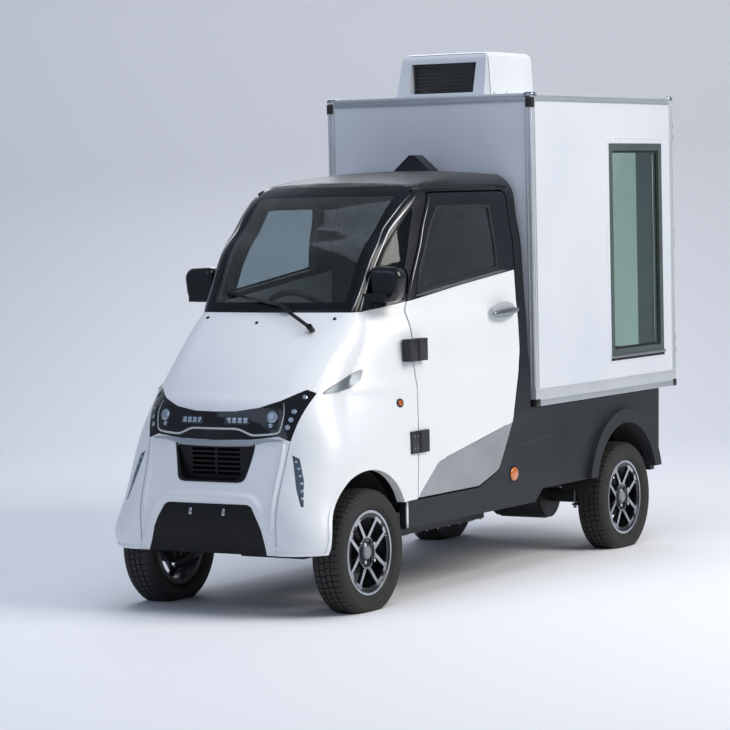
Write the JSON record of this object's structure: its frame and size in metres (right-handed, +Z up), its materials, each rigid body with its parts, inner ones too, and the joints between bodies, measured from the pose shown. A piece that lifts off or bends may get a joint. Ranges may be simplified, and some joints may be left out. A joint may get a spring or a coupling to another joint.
{
  "type": "electric mini box truck",
  "caption": "Narrow electric mini truck: closed cab with opening doors, steered front wheels, and an insulated box body with side windows, a rear door and a roof cooling unit.",
  "frame": {"origin": "on the ground, under the middle of the vehicle's length and width", "axes": "+X to the vehicle's left side, the front faces -Y, +Z up"},
  "size_m": [1.124, 3.374, 2.395],
  "materials": {
    "white_paint": "gloss",
    "white_plastic": "gloss",
    "black_paint": "satin",
    "frame_black": "matt",
    "black_plastic": "matt",
    "graphite_plastic": "textured",
    "lens_black": "gloss",
    "lens_clear": "gloss",
    "lens_red": "gloss",
    "bright_trim": "polished",
    "aluminium": "satin",
    "rim": "machined face, dark pockets",
    "tyre": "matt",
    "steel": "matt",
    "glass": "gloss",
    "seat_cover": "matt"
  },
  "bodies": {
    "chassis": {"battery_pack": "frame_black", "bonnet": "white_paint", "box_bearers": "frame_black", "box_floor": "white_paint", "box_frame": "aluminium", "box_panels": "white_paint", "box_window_frames": "aluminium", "box_windows": "glass", "bumper_insert": "black_plastic", "cab_floor": "black_plastic", "cab_frame": "black_paint", "cab_glass": "glass", "cab_roof": "black_paint", "chassis_frame": "frame_black", "corner_lamps": "lens_clear", "dashboard": "black_plastic", "door_hinges": "black_paint", "driver_seat": "seat_cover", "front_fascia": "white_plastic", "front_fenders": "white_paint", "front_subframe": "frame_black", "grille": "black_plastic", "lamp_band": "lens_black", "leaf_springs": "steel", "lower_arms": "frame_black", "lower_side_panels": "graphite_plastic", "mirrors": "black_plastic", "rear_axle": "frame_black", "rear_bumper": "frame_black", "rear_hinges": "aluminium", "roof_unit": "white_plastic", "roof_unit_grille": "black_plastic", "side_garnishes": "bright_trim", "tail_lamps": "lens_red", "wiper": "black_plastic"},
    "knuckle_left": {"knuckle_left": "frame_black"},
    "knuckle_right": {"knuckle_right": "frame_black"},
    "rack": {"steering_rack": "steel"},
    "steering_wheel": {"steering_wheel": "black_plastic"},
    "cab_door_left": {"door_left": "white_paint", "door_frame_left": "black_paint", "door_glass_left": "glass"},
    "cab_door_right": {"door_right": "white_paint", "door_frame_right": "black_paint", "door_glass_right": "glass"},
    "box_rear_door": {"rear_door": "white_paint", "rear_door_glass": "glass"},
    "wheel_front_left": {"rim_front_left": "rim", "tyre_front_left": "tyre"},
    "wheel_front_right": {"rim_front_right": "rim", "tyre_front_right": "tyre"},
    "wheel_rear_left": {"rim_rear_left": "rim", "tyre_rear_left": "tyre"},
    "wheel_rear_right": {"rim_rear_right": "rim", "tyre_rear_right": "tyre"}
  },
  "joints": [
    {"name": "steer_left", "type": "hinge", "parent": "chassis", "child": "knuckle_left", "pos_m": [0.425, -1.273, 0.185], "axis": [-0.1696, 0, 0.9855], "range_deg": [-28, 28]},
    {"name": "steer_right", "type": "hinge", "parent": "chassis", "child": "knuckle_right", "pos_m": [-0.425, -1.273, 0.185], "axis": [0.1696, 0, 0.9855], "range_deg": [-28, 28]},
    {"name": "rack_slide", "type": "slide", "parent": "chassis", "child": "rack", "axis": [1, 0, 0], "range_m": [-0.047, 0.047]},
    {"name": "steering_wheel_turn", "type": "hinge", "parent": "chassis", "child": "steering_wheel", "pos_m": [0, -0.903, 1.19], "axis": [0, 0.8192, 0.5736], "range_deg": [-337, 337]},
    {"name": "front_left_spin", "type": "hinge", "parent": "knuckle_left", "child": "wheel_front_left", "pos_m": [0.476, -1.273, 0.266], "axis": [1, 0, 0], "continuous": true},
    {"name": "front_right_spin", "type": "hinge", "parent": "knuckle_right", "child": "wheel_front_right", "pos_m": [-0.476, -1.273, 0.266], "axis": [1, 0, 0], "continuous": true},
    {"name": "rear_left_spin", "type": "hinge", "parent": "chassis", "child": "wheel_rear_left", "pos_m": [0.486, 1.077, 0.266], "axis": [1, 0, 0], "continuous": true},
    {"name": "rear_right_spin", "type": "hinge", "parent": "chassis", "child": "wheel_rear_right", "pos_m": [-0.486, 1.077, 0.266], "axis": [1, 0, 0], "continuous": true},
    {"name": "cab_door_left_swing", "type": "hinge", "parent": "chassis", "child": "cab_door_left", "pos_m": [0.55185, -0.868, 0.9], "axis": [0, 0, -1], "range_deg": [0, 65]},
    {"name": "cab_door_right_swing", "type": "hinge", "parent": "chassis", "child": "cab_door_right", "pos_m": [-0.55185, -0.868, 0.9], "axis": [0, 0, 1], "range_deg": [0, 65]},
    {"name": "rear_door_swing", "type": "hinge", "parent": "chassis", "child": "box_rear_door", "pos_m": [0.509, 1.68, 1.5], "axis": [0, 0, -1], "range_deg": [0, 110]}
  ],
  "couplings": [
    {"joint": "steer_right", "follows": "steer_left", "ratio": 1},
    {"joint": "rack_slide", "follows": "steer_left", "m_per_rad": -0.096},
    {"joint": "steering_wheel_turn", "follows": "steer_left", "ratio": 12}
  ]
}
